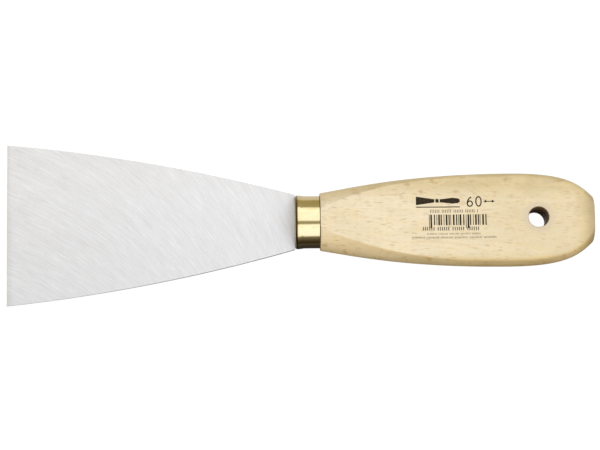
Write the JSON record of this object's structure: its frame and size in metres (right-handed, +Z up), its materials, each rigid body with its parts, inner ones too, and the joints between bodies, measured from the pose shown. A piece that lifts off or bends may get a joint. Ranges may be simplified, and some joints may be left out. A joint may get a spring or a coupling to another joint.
{
  "type": "filling knife",
  "caption": "Filling knife with a flexible taper-ground steel blade, a brass ferrule and a flattened beech handle with a hanging hole.",
  "frame": {"origin": "under the middle of the tool's overall length, on the surface it lies on", "axes": "+X along the tool from the working edge to the butt, +Y across the blade, +Z up through the handle's milled faces and along the hanging hole"},
  "size_m": [0.2166, 0.06, 0.02],
  "materials": {
    "blade_steel": "ground in long arcs across the blade, satin",
    "ferrule_brass": "drawn and polished",
    "handle_beech": "sanded beech with a thin clear coat",
    "tang_resin": "cast resin, hidden",
    "marking_ink": "thin printed ink"
  },
  "bodies": {
    "root": {"blade": "blade_steel", "ferrule": "ferrule_brass", "handle": "handle_beech", "tang_adhesive": "tang_resin"}
  },
  "joints": []
}
